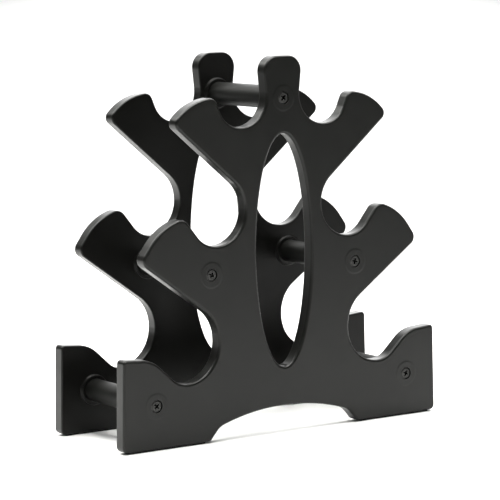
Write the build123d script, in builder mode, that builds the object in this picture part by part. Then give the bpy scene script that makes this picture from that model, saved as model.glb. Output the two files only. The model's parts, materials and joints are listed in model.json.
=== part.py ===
from math import radians, tan
import os

from build123d import *

os.makedirs("parts", exist_ok=True)

# ---------------------------------------------------------------- driving sizes (mm)
panel_width = 350.0        # side panel across its two feet
panel_height = 343.0       # side panel from foot to tab top
panel_thickness = 13.0
rack_depth = 120.0         # outer face to outer face of the two side panels
outer_round = 2.4          # soft edge of the outward face
inner_round = 1.6          # edge of the face that looks at the other panel

bar_diameter = 21.0
bar_wall = 1.6
bar_fit = 0.3              # radial play of a bar in its socket
boss_wall = 3.2            # boss around a socket
boss_rise = 2.5            # boss above the inner face
boss_round = 1.1           # rounding at the boss's rim and foot
web = 4.6                  # panel left between a head recess and a socket

plug_fit = 0.1             # radial play of an end plug in its bar
plug_length = 16.0
plug_chamfer = 0.8

screw_diameter = 4.8
screw_fit = 0.25           # radial play of a screw in the panel
thread_fit = 0.05          # radial play of a screw in its plug
screw_bite = 13.0          # screw length inside the plug
plug_hole_spare = 1.5      # plug hole beyond the screw tip
point_length = 1.2         # tapered point of the screw
point_narrowing = 0.8      # radius lost over the point
head_diameter = 10.6
head_flat = 8.2            # flat top of the head, inside its bevel
head_height = 2.6
head_bevel = 0.7           # bevel of the head's rim, along the screw
head_fit = 0.45            # radial play of a head in its recess
head_sink = 0.2            # head top below the outer face
cross_length = 6.2          # wings of the cross recess, across the head's top
cross_width = 1.8
cross_depth = 2.3
cross_narrowing = 0.5       # share of its length and width that the recess keeps at its bottom

pad_thickness = 1.5
pad_side_inset = 2.0       # pad inside the foot on its long sides
pad_end_inset = 1.5        # pad short of the flat of the foot at its ends
pad_round = 2.0

slot_width = 61.6          # eye-shaped slot up the middle of a panel
slot_top = 0.795           # shares of the panel height
slot_bottom = 0.174

# Screw and bar centres: share of half the panel width, share of the panel height.
BAR_PLACES = {
    "top": (0.0, 0.889),
    "mid_left": (-0.457, 0.438),
    "mid_right": (0.457, 0.438),
    "low_left": (-0.799, 0.112),
    "low_right": (0.799, 0.112),
}

# How far each screw's cross stands turned, in degrees, as driven home.
SCREW_TURNS = {"top": 38.0, "mid_left": 30.0, "mid_right": 12.0, "low_left": 43.0, "low_right": 24.0}

# Right half of a panel's outline, from the tab down to the arch, as corners before rounding:
# share of half the width, share of the height, rounding as a share of the panel width.
UPPER_CORNERS = [
    (0.126, 1.000, 0.040),  # tab corner
    (0.087, 0.817, 0.078),  # foot of the tab, inner side of the upper notch
    (0.355, 0.817, 0.068),  # outer side of the upper notch
    (0.423, 0.899, 0.023),  # crest of the upper lug
    (0.572, 0.891, 0.154),  # back of the upper lug
    (0.679, 0.833, 0.020),  # tip of the upper lug
    (0.243, 0.646, 0.088),  # upper waist
]
MIDDLE_CORNERS = [
    (0.243, 0.512, 0.088),  # inner side of the middle notch
    (0.491, 0.512, 0.074),  # outer side of the middle notch
    (0.619, 0.593, 0.031),  # crest of the middle lug
    (0.762, 0.569, 0.160),  # back of the middle lug
    (0.881, 0.484, 0.023),  # tip of the middle lug
    (0.415, 0.315, 0.098),  # lower waist
]
FOOT_CORNERS = [
    (0.415, 0.160, 0.098),  # inner side of the lower notch
    (0.663, 0.160, 0.067),  # outer side of the lower notch
    (0.819, 0.233, 0.086),  # crest of the foot
    (0.990, 0.240, 0.010),  # outer top corner of the foot
]
FOOT_OUTER_CORNER = (1.000, 0.000, 0.014)
FOOT_INNER_CORNER = (0.471, 0.000, 0.009)
ARCH_CORNERS = [
    (0.411, 0.035, 0.051),  # shoulder of the arch
    (0.200, 0.069, 0.630),  # haunch of the arch
]

# ---------------------------------------------------------------- derived sizes
half_width = panel_width / 2
outer_y = -rack_depth / 2
socket_diameter = bar_diameter + 2 * bar_fit
boss_diameter = socket_diameter + 2 * boss_wall
recess_diameter = head_diameter + 2 * head_fit
recess_depth = head_height + head_sink
head_seat = outer_y + recess_depth
bar_seat = head_seat + web
inner_y = outer_y + panel_thickness
plug_diameter = bar_diameter - 2 * bar_wall - 2 * plug_fit
slot_height = panel_height * (slot_top - slot_bottom)
slot_middle = panel_height * (slot_top + slot_bottom) / 2
outer_plane = Plane.XZ.offset(-outer_y)
bar_centres = {
    name: (half_width * x, pad_thickness + panel_height * z)
    for name, (x, z) in BAR_PLACES.items()
}


def facing_back(x, y, z):
    """Plane at a point, facing along +Y."""
    return Plane(origin=(x, y, z), x_dir=(1, 0, 0), z_dir=(0, 1, 0))


def full_size(corner):
    """A corner's position on the panel and its rounding, in mm."""
    x, z, rounding = corner
    return half_width * x, pad_thickness + panel_height * z, panel_width * rounding


def rounded_run(start, corners, end):
    """Straight lines from start to end through the corners, each rounded by its own radius."""
    points = [Vector(*start)] + [Vector(x, z) for x, z, r in corners] + [Vector(*end)]
    legs = [b - a for a, b in zip(points, points[1:])]
    turns = [tan(radians(a.get_angle(b)) / 2) for a, b in zip(legs, legs[1:])]
    reach = [0.0] + [r * t for (x, z, r), t in zip(corners, turns)] + [0.0]
    # Two roundings longer than the leg they share are shortened to fit it.
    room = [0.99 * leg.length / max(a + b, 1e-9) for leg, a, b in zip(legs, reach, reach[1:])]
    fitted = [reach[i + 1] * min(1.0, room[i], room[i + 1]) for i in range(len(corners))]
    here = points[0]
    for corner, before, after, length, turn in zip(points[1:], legs, legs[1:], fitted, turns):
        arc_start = corner - before.normalized() * length
        arc_end = corner + after.normalized() * length
        to_centre = (after.normalized() - before.normalized()).normalized()
        radius = length / turn
        gap = (radius**2 + length**2) ** 0.5 - radius
        Line(here, arc_start)
        ThreePointArc(arc_start, corner + to_centre * gap, arc_end)
        here = arc_end
    Line(here, points[-1])


# ---------------------------------------------------------------- side panels
foot_corners = FOOT_CORNERS + [FOOT_OUTER_CORNER, FOOT_INNER_CORNER]
corners = [full_size(c) for c in UPPER_CORNERS + MIDDLE_CORNERS + foot_corners + ARCH_CORNERS]

with BuildPart() as side_panel_front:
    with BuildSketch(outer_plane):
        with BuildLine():
            rounded_run((0, pad_thickness + panel_height), corners, (0, corners[-1][1]))
            mirror(about=Plane.YZ)
        make_face()
        with Locations((0, pad_thickness + slot_middle)):
            Ellipse(slot_width / 2, slot_height / 2, mode=Mode.SUBTRACT)
    extrude(amount=-panel_thickness)
    outer_face = side_panel_front.faces().filter_by(Axis.Y).sort_by(Axis.Y)[0]
    fillet(outer_face.edges(), radius=outer_round)
    inner_face = side_panel_front.faces().filter_by(Axis.Y).sort_by(Axis.Y)[-1]
    fillet(inner_face.edges(), radius=inner_round)
    for x, z in bar_centres.values():
        with BuildSketch(facing_back(x, inner_y, z)):
            Circle(boss_diameter / 2)
        extrude(amount=boss_rise)
        boss_middle = Vector(x, inner_y + boss_rise, z)
        rings = side_panel_front.edges().filter_by(GeomType.CIRCLE).sort_by_distance(boss_middle)
        fillet(rings.filter_by(lambda e: abs(e.radius - boss_diameter / 2) < 0.01)[0:2], boss_round)
    with BuildSketch(Plane.XZ.offset(-bar_seat)):
        with Locations(*bar_centres.values()):
            Circle(socket_diameter / 2)
    extrude(amount=-panel_thickness, mode=Mode.SUBTRACT)
    with BuildSketch(outer_plane):
        with Locations(*bar_centres.values()):
            Circle(recess_diameter / 2)
    extrude(amount=-recess_depth, mode=Mode.SUBTRACT)
    with BuildSketch(outer_plane):
        with Locations(*bar_centres.values()):
            Circle(screw_diameter / 2 + screw_fit)
    extrude(amount=-panel_thickness, mode=Mode.SUBTRACT)
side_panel_front.part.label = "side_panel_front"
export_step(side_panel_front.part, "parts/side_panel_front.step")

with BuildPart() as side_panel_rear:
    add(mirror(side_panel_front.part, about=Plane.XZ))
side_panel_rear.part.label = "side_panel_rear"
export_step(side_panel_rear.part, "parts/side_panel_rear.step")

# ---------------------------------------------------------------- cross bars and their end plugs
for name, (x, z) in bar_centres.items():
    with BuildPart() as cross_bar:
        with BuildSketch(facing_back(x, bar_seat, z)):
            Circle(bar_diameter / 2)
            Circle(bar_diameter / 2 - bar_wall, mode=Mode.SUBTRACT)
        extrude(amount=-2 * bar_seat)
    cross_bar.part.label = "cross_bar_" + name
    export_step(cross_bar.part, "parts/cross_bar_" + name + ".step")

    with BuildPart() as front_plug:
        with BuildSketch(facing_back(x, bar_seat, z)):
            Circle(plug_diameter / 2)
        extrude(amount=plug_length)
        inner_end = front_plug.edges().filter_by(GeomType.CIRCLE).sort_by(Axis.Y)[-1]
        chamfer(inner_end, length=plug_chamfer)
        with BuildSketch(facing_back(x, bar_seat, z)):
            Circle(screw_diameter / 2 + thread_fit)
        extrude(amount=screw_bite + plug_hole_spare, mode=Mode.SUBTRACT)
    front_plug.part.label = "end_plug_" + name + "_front"
    export_step(front_plug.part, "parts/end_plug_" + name + "_front.step")

    with BuildPart() as rear_plug:
        add(mirror(front_plug.part, about=Plane.XZ))
    rear_plug.part.label = "end_plug_" + name + "_rear"
    export_step(rear_plug.part, "parts/end_plug_" + name + "_rear.step")

# ---------------------------------------------------------------- screws
head_top = head_seat - head_height
screw_tip = bar_seat + screw_bite
shank = screw_diameter / 2
rim = head_diameter / 2

with BuildPart() as screws_front:
    for name, (x, z) in bar_centres.items():
        with BuildSketch(Plane(origin=(x, 0, z), x_dir=(1, 0, 0), z_dir=(0, 0, 1))):
            with BuildLine():
                Polyline(
                    (0, head_top),
                    (0, screw_tip),
                    (shank - point_narrowing, screw_tip),
                    (shank, screw_tip - point_length),
                    (shank, head_seat),
                    (rim, head_seat),
                    (rim, head_top + head_bevel),
                    (head_flat / 2, head_top),
                    close=True,
                )
            make_face()
        revolve(axis=Axis((x, 0, z), (0, 1, 0)))
        for quarter in (0, 90):
            turn = SCREW_TURNS[name] + quarter
            with BuildSketch(facing_back(x, head_top, z)) as wing_top:
                Rectangle(cross_length, cross_width, rotation=turn)
            with BuildSketch(facing_back(x, head_top + cross_depth, z)) as wing_bottom:
                keep = cross_narrowing
                Rectangle(cross_length * keep, cross_width * keep, rotation=turn)
            loft(mode=Mode.SUBTRACT)
screws_front.part.label = "screws_front"
export_step(screws_front.part, "parts/screws_front.step")

with BuildPart() as screws_rear:
    add(mirror(screws_front.part, about=Plane.XZ))
screws_rear.part.label = "screws_rear"
export_step(screws_rear.part, "parts/screws_rear.step")

# ---------------------------------------------------------------- foot pads
flat_outer_x = full_size(FOOT_OUTER_CORNER)[0] - full_size(FOOT_OUTER_CORNER)[2]
flat_inner_x = full_size(FOOT_INNER_CORNER)[0] + full_size(FOOT_INNER_CORNER)[2]
pad_length = flat_outer_x - flat_inner_x - 2 * pad_end_inset
pad_x = (flat_outer_x + flat_inner_x) / 2
pad_y = rack_depth / 2 - panel_thickness / 2

for side, sign_x in (("left", -1), ("right", 1)):
    for end, sign_y in (("front", -1), ("rear", 1)):
        with BuildPart() as foot_pad:
            with BuildSketch(Plane.XY):
                with Locations((sign_x * pad_x, sign_y * pad_y)):
                    RectangleRounded(
                        pad_length, panel_thickness - 2 * pad_side_inset, pad_round
                    )
            extrude(amount=pad_thickness)
        foot_pad.part.label = "foot_pad_" + end + "_" + side
        export_step(foot_pad.part, "parts/foot_pad_" + end + "_" + side + ".step")
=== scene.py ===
"""Looks of the dumbbell rack: materials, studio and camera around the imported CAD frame, in metres."""

import json
from math import cos, radians, sin

import bpy
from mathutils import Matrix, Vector


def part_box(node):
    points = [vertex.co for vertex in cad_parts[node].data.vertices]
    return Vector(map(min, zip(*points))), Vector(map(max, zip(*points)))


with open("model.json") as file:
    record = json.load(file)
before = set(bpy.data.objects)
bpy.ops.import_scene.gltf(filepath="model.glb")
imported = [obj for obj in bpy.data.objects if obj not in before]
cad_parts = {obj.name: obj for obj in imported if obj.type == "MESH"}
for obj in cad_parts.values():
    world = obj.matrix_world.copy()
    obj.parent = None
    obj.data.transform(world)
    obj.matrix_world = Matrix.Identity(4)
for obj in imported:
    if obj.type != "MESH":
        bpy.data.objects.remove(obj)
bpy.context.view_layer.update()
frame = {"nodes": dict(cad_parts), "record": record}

scene = bpy.context.scene
nodes = frame["nodes"]

# ---------------------------------------------------------------- driving values
CAMERA_PLACE = (-1.2764, -1.8443, 0.4352)
CAMERA_TURN = (83.07, 0.5545, -34.8205)  # degrees
CAMERA_LENS = 175.24  # mm
CAMERA_SENSOR = 36.0  # mm
CAMERA_REACH = 200.0

VIEW_TURN = radians(34.6)  # the camera looks this far to the right of +Y
GLOW_RISE = 0.15  # the glow's middle stands this much above the horizon, per unit of distance
GLOW_FACING = (0.72, 0.98)  # how far a direction faces the glow: where it begins, where it is full
GLOW_STRENGTH = (0.05, 0.9)  # the surroundings away from the glow and in it
GLOW_TINT = (1.0, 1.0, 0.99, 1.0)

WHITE = (1.0, 1.0, 1.0)
WARM = (1.0, 1.0, 0.965)
# Name, place, aim, size, power in watts, tint.
LIGHTS = (
    ("pool", (-0.05, -0.12, 1.5), (-0.05, -0.12, 0.0), (1.1, 1.1), 45.0, WARM),
    ("behind", (-0.55, 0.8, 1.1), (-0.45, 0.7, 0.0), (0.7, 0.7), 16.0, WARM),
    ("rim", (1.0, -0.2, 1.5), (0.0, 0.0, 0.2), (0.6, 0.6), 5.0, WHITE),
    ("room", (0.0, 0.0, 6.0), (0.0, 0.0, 0.0), (14.0, 14.0), 170.0, WHITE),
)
STRIP_DISTANCE = 19.0
STRIP_HEIGHT = 2.6
STRIP_SIZE = (3.4, 37.0)
STRIP_POWER = 1200.0

FLOOR_REACH = 60.0

BARS = ("top", "mid_left", "mid_right", "low_left", "low_right")
BOSS_RISE = 0.0025  # the bosses round the bars stand this proud of a panel's inner face
INNER_SHADE_FADE = (0.0003, 0.0010)  # how far outside the inner face its painted shade begins to fade and ends
WORN_RADIUS = 0.0016  # a panel is worn within this distance of a turn
RUBBED_RADIUS = 0.0006  # a screw's head is rubbed within this distance of a turn
RING_RADIUS = (0.0106, 0.0124)  # the witness ring round a screw slopes down between these
CROSS_DEPTH = (0.0005, 0.0001)  # this far below a head's top the cross is painted all black as shade, and unshaded
CROSS_RADIUS = (0.0034, 0.0037)  # this far from a screw's axis the cross is painted all black as shade, and unshaded

MAP_SOCKETS = ("From Min", "From Max", "To Min", "To Max")
NOISE_SPREAD = (0.3, 0.7)  # nearly all of a noise lies between these
EDGE_SAMPLES = 4
EDGE_TURN = 0.93  # two normals that agree only this much count as a full turn


# ---------------------------------------------------------------- camera
def make_camera():
    data = bpy.data.cameras.new("camera")
    data.lens = CAMERA_LENS
    data.sensor_width = CAMERA_SENSOR
    data.clip_end = CAMERA_REACH
    camera = bpy.data.objects.new("camera", data)
    camera.location = CAMERA_PLACE
    camera.rotation_euler = [radians(turn) for turn in CAMERA_TURN]
    scene.collection.objects.link(camera)
    scene.camera = camera


# ---------------------------------------------------------------- studio
def area_light(name, location, aim, size, power, tint):
    data = bpy.data.lights.new(name, "AREA")
    data.shape = "RECTANGLE"
    data.size, data.size_y = size
    data.energy = power
    data.color = tint
    light = bpy.data.objects.new(name, data)
    light.location = location
    light.rotation_euler = (Vector(aim) - Vector(location)).to_track_quat("-Z", "Y").to_euler()
    scene.collection.objects.link(light)
    return light


def make_surroundings():
    """Dim all round, with a bright side that the camera looks towards."""
    world = bpy.data.worlds.new("studio")
    world.use_nodes = True
    tree = world.node_tree
    direction = tree.nodes.new("ShaderNodeTexCoord").outputs["Generated"]
    facing = tree.nodes.new("ShaderNodeVectorMath")
    facing.operation = "DOT_PRODUCT"
    facing.inputs[1].default_value = Vector((sin(VIEW_TURN), cos(VIEW_TURN), GLOW_RISE)).normalized()
    tree.links.new(direction, facing.inputs[0])
    glow = tree.nodes.new("ShaderNodeMapRange")
    glow.interpolation_type = "SMOOTHSTEP"
    for name, number in zip(MAP_SOCKETS, GLOW_FACING + GLOW_STRENGTH):
        glow.inputs[name].default_value = number
    tree.links.new(facing.outputs["Value"], glow.inputs["Value"])
    tree.links.new(glow.outputs["Result"], tree.nodes["Background"].inputs["Strength"])
    tree.nodes["Background"].inputs["Color"].default_value = GLOW_TINT
    scene.world = world


def make_lights():
    """Soft light from above, and a long strip over the floor that runs away from the camera."""
    for light in LIGHTS:
        area_light(*light)
    under_strip = Vector((sin(VIEW_TURN), cos(VIEW_TURN), 0.0)) * STRIP_DISTANCE
    over = under_strip + Vector((0.0, 0.0, STRIP_HEIGHT))
    strip = area_light("strip", over, under_strip, STRIP_SIZE, STRIP_POWER, WHITE)
    strip.rotation_euler = (0.0, 0.0, -VIEW_TURN)
    scene.view_settings.view_transform = "Standard"
    scene.view_settings.look = "None"


# ---------------------------------------------------------------- materials
class Shader:
    """A material being built: its node tree, its Principled shader and shortcuts to add nodes."""

    def __init__(self, name):
        self.material = bpy.data.materials.new(name)
        self.material.use_nodes = True
        self.tree = self.material.node_tree
        self.skin = self.tree.nodes["Principled BSDF"]
        self.place = self.tree.nodes.new("ShaderNodeTexCoord").outputs["Object"]

    def node(self, kind, **values):
        made = self.tree.nodes.new(kind)
        for key, value in values.items():
            setattr(made, key, value)
        return made

    def link(self, source, target):
        self.tree.links.new(source, target)

    def put(self, name, source):
        """Drives one input of the Principled shader."""
        self.link(source, self.skin.inputs[name])

    def coordinates(self):
        """X, Y and Z in the rack's own frame, as three values."""
        made = self.node("ShaderNodeSeparateXYZ")
        self.link(self.place, made.inputs[0])
        return made.outputs["X"], made.outputs["Y"], made.outputs["Z"]

    def noise(self, scale, detail=3.0, roughness=0.5):
        made = self.node("ShaderNodeTexNoise")
        made.inputs["Scale"].default_value = scale
        made.inputs["Detail"].default_value = detail
        made.inputs["Roughness"].default_value = roughness
        self.link(self.place, made.inputs["Vector"])
        return made.outputs["Fac"]

    def math(self, operation, a, b=None):
        made = self.node("ShaderNodeMath", operation=operation)
        for socket, value in zip(made.inputs, (a, b)):
            if isinstance(value, (int, float)):
                socket.default_value = value
            elif value is not None:
                self.link(value, socket)
        return made.outputs[0]

    def remap(self, value, low, high, to_low, to_high):
        made = self.node("ShaderNodeMapRange")
        self.link(value, made.inputs["Value"])
        for name, number in zip(MAP_SOCKETS, (low, high, to_low, to_high)):
            made.inputs[name].default_value = number
        return made.outputs["Result"]

    def spread(self, noise, to_low, to_high):
        """A noise stretched to run from one value to another."""
        return self.remap(noise, *NOISE_SPREAD, to_low, to_high)

    def blend(self, factor, first, second):
        made = self.node("ShaderNodeMix", data_type="RGBA")
        self.link(factor, made.inputs["Factor"])
        for socket, value in ((made.inputs["A"], first), (made.inputs["B"], second)):
            if isinstance(value, tuple):
                socket.default_value = (*value, 1.0)
            else:
                self.link(value, socket)
        return made.outputs["Result"]

    def bump(self, height, strength, distance, below=None):
        made = self.node("ShaderNodeBump")
        made.inputs["Strength"].default_value = strength
        made.inputs["Distance"].default_value = distance
        self.link(height, made.inputs["Height"])
        if below is not None:
            self.link(below, made.inputs["Normal"])
        return made.outputs["Normal"]

    def edges(self, radius):
        """0 on flat stretches, towards 1 where the surface turns within the radius."""
        rounded = self.node("ShaderNodeBevel", samples=EDGE_SAMPLES)
        rounded.inputs["Radius"].default_value = radius
        flat = self.node("ShaderNodeNewGeometry").outputs["Normal"]
        agree = self.node("ShaderNodeVectorMath", operation="DOT_PRODUCT")
        self.link(rounded.outputs["Normal"], agree.inputs[0])
        self.link(flat, agree.inputs[1])
        return self.remap(agree.outputs["Value"], 1.0, EDGE_TURN, 0.0, 1.0)


def screw_centres():
    """Where the screws' axes cross a panel, as (x, z)."""
    centres = []
    for name in BARS:
        low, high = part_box("cross_bar_" + name)
        centres.append(((low.x + high.x) / 2, (low.z + high.z) / 2))
    return centres


def screw_distance(shader, x, z):
    """Distance from the nearest screw's axis."""
    nearest = None
    for centre_x, centre_z in screw_centres():
        across = shader.math("SUBTRACT", x, centre_x)
        up = shader.math("SUBTRACT", z, centre_z)
        across_squared = shader.math("MULTIPLY", across, across)
        up_squared = shader.math("MULTIPLY", up, up)
        squares = shader.math("ADD", across_squared, up_squared)
        nearest = squares if nearest is None else shader.math("MINIMUM", nearest, squares)
    return shader.math("SQRT", nearest)


def painted_inner_shade(shader, y):
    """Painted shade: 1 on the faces with which the two panels look at each other, painted darker and
    less shiny, 0 on the rest of them.
    """
    inner_face = -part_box("side_panel_front")[1].y + BOSS_RISE
    begin, end = INNER_SHADE_FADE
    off_centre = shader.math("ABSOLUTE", y)
    return shader.remap(off_centre, inner_face + begin, inner_face + end, 1.0, 0.0)


def panel_plastic():
    """Satin black moulded plastic with a fine grain, worn edges, a faint ring round each screw and
    painted shade on the inner faces.
    """
    shader = Shader("panel_plastic")
    x, y, z = shader.coordinates()
    broad = shader.noise(9.0, detail=4.0)
    cloudy = shader.noise(60.0, detail=5.0, roughness=0.6)
    grain = shader.noise(1500.0, detail=4.0, roughness=0.65)
    pits = shader.noise(520.0, detail=2.0)
    inner_shade = painted_inner_shade(shader, y)
    worn = shader.edges(WORN_RADIUS)
    scuffed = shader.math("MULTIPLY", worn, shader.remap(cloudy, 0.42, 0.62, 0.15, 1.0))

    dark, light = (0.0042, 0.0044, 0.0038), (0.0064, 0.0066, 0.0058)
    speckle, scuff, inner = (0.011, 0.011, 0.010), (0.030, 0.030, 0.028), (0.0042, 0.0042, 0.0038)
    tone = shader.blend(shader.spread(broad, 0.0, 1.0), dark, light)
    tone = shader.blend(shader.remap(grain, 0.35, 0.75, 0.0, 0.35), tone, speckle)
    tone = shader.blend(shader.math("MULTIPLY", scuffed, 0.45), tone, scuff)
    # painted shade: the faces where the panels look at each other are painted darker
    tone = shader.blend(inner_shade, tone, inner)
    shader.put("Base Color", tone)

    rough = shader.spread(cloudy, 0.29, 0.37)
    rough = shader.math("ADD", rough, shader.spread(grain, -0.03, 0.03))
    rough = shader.math("SUBTRACT", rough, shader.math("MULTIPLY", scuffed, 0.06))
    shader.put("Roughness", rough)
    # painted shade: those inner faces also get a weaker specular
    shader.put("Specular IOR Level", shader.remap(inner_shade, 0.0, 1.0, 0.27, 0.17))

    raised = shader.remap(screw_distance(shader, x, z), *RING_RADIUS, 1.0, 0.0)
    normal = shader.bump(raised, 0.6, 0.00025)
    normal = shader.bump(cloudy, 0.10, 0.0002, normal)
    normal = shader.bump(pits, 0.12, 0.00008, normal)
    normal = shader.bump(grain, 0.16, 0.00005, normal)
    shader.put("Normal", normal)
    return shader.material


def bar_coating():
    """Black powder coat on steel tube: slight orange peel and small specks."""
    shader = Shader("bar_coating")
    peel = shader.noise(420.0, detail=2.0)
    specks = shader.noise(1900.0, detail=3.0, roughness=0.7)
    broad = shader.noise(24.0, detail=4.0)

    dark, light, speck = (0.0046, 0.0048, 0.0043), (0.0072, 0.0074, 0.0067), (0.022, 0.022, 0.020)
    tone = shader.blend(shader.spread(broad, 0.0, 1.0), dark, light)
    tone = shader.blend(shader.remap(specks, 0.62, 0.74, 0.0, 0.4), tone, speck)
    shader.put("Base Color", tone)
    shader.put("Roughness", shader.spread(broad, 0.46, 0.54))
    shader.skin.inputs["Specular IOR Level"].default_value = 0.15

    normal = shader.bump(peel, 0.18, 0.00012)
    normal = shader.bump(specks, 0.10, 0.00004, normal)
    shader.put("Normal", normal)
    return shader.material


def screw_steel():
    """Black-oxide screw: dark metal, rubbed brighter on the head's edges, with painted shade in its
    cross.
    """
    shader = Shader("screw_steel")
    x, y, z = shader.coordinates()
    smear = shader.noise(700.0, detail=4.0)
    worn = shader.edges(RUBBED_RADIUS)
    rubbed = shader.math("MULTIPLY", worn, shader.remap(smear, 0.35, 0.65, 0.2, 1.0))

    head_top = -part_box("screws_front")[0].y
    deep, unshaded = CROSS_DEPTH
    # painted shade: the cross recess is painted black and less shiny where it lies deep and near the
    # axis
    below = shader.remap(shader.math("ABSOLUTE", y), head_top - deep, head_top - unshaded, 1.0, 0.0)
    middle = shader.remap(screw_distance(shader, x, z), *CROSS_RADIUS, 1.0, 0.0)
    cross_shade = shader.math("MULTIPLY", below, middle)

    oxide, steel, black = (0.030, 0.030, 0.029), (0.16, 0.16, 0.155), (0.0015, 0.0015, 0.0015)
    tone = shader.blend(rubbed, oxide, steel)
    # painted shade in the cross recess
    tone = shader.blend(cross_shade, tone, black)
    shader.put("Base Color", tone)
    shader.put("Metallic", shader.remap(cross_shade, 0.0, 1.0, 0.5, 0.0))
    shader.put("Specular IOR Level", shader.remap(cross_shade, 0.0, 1.0, 0.35, 0.05))
    shader.put("Roughness", shader.spread(smear, 0.34, 0.48))
    shader.put("Normal", shader.bump(smear, 0.12, 0.00003))
    return shader.material


def plug_plastic():
    """Plain dark moulded plastic of the plugs inside the bars."""
    shader = Shader("plug_plastic")
    grain = shader.noise(900.0, detail=3.0)
    shader.put("Base Color", shader.blend(grain, (0.018, 0.018, 0.018), (0.030, 0.030, 0.030)))
    shader.put("Roughness", shader.spread(grain, 0.5, 0.62))
    shader.put("Normal", shader.bump(grain, 0.1, 0.00005))
    return shader.material


def pad_rubber():
    """Soft black rubber, dusty in patches."""
    shader = Shader("pad_rubber")
    pores = shader.noise(1100.0, detail=3.0, roughness=0.7)
    dust = shader.noise(90.0, detail=4.0)
    rubber, dusty = (0.010, 0.010, 0.010), (0.028, 0.027, 0.026)
    shader.put("Base Color", shader.blend(shader.remap(dust, 0.45, 0.75, 0.0, 0.5), rubber, dusty))
    shader.put("Roughness", shader.spread(pores, 0.72, 0.9))
    shader.put("Normal", shader.bump(pores, 0.3, 0.0001))
    return shader.material


def floor_paint():
    """Matt white floor."""
    shader = Shader("floor_paint")
    mottle = shader.noise(3.0, detail=5.0)
    dull, bright = (0.86, 0.86, 0.855), (0.88, 0.88, 0.875)
    shader.put("Base Color", shader.blend(shader.spread(mottle, 0.0, 1.0), dull, bright))
    shader.skin.inputs["Roughness"].default_value = 0.9
    shader.skin.inputs["Specular IOR Level"].default_value = 0.2
    return shader.material


# ---------------------------------------------------------------- pieces
def make_floor():
    mesh = bpy.data.meshes.new("floor")
    signs = ((-1, -1), (1, -1), (1, 1), (-1, 1))
    corners = [(x * FLOOR_REACH, y * FLOOR_REACH, 0.0) for x, y in signs]
    mesh.from_pydata(corners, [], [(0, 1, 2, 3)])
    floor = bpy.data.objects.new("floor", mesh)
    floor.data.materials.append(floor_paint())
    scene.collection.objects.link(floor)


def finish_cad_nodes():
    """Gives every CAD node the material of its slot in the record."""
    made = {
        "panel_plastic": panel_plastic(),
        "bar_coating": bar_coating(),
        "plug_plastic": plug_plastic(),
        "screw_steel": screw_steel(),
        "pad_rubber": pad_rubber(),
    }
    for part in frame["record"]["subparts"]:
        piece = nodes[part["node"]]
        piece.data.materials.clear()
        piece.data.materials.append(made[part["material_slot"]])


make_camera()
make_surroundings()
make_lights()
make_floor()
finish_cad_nodes()
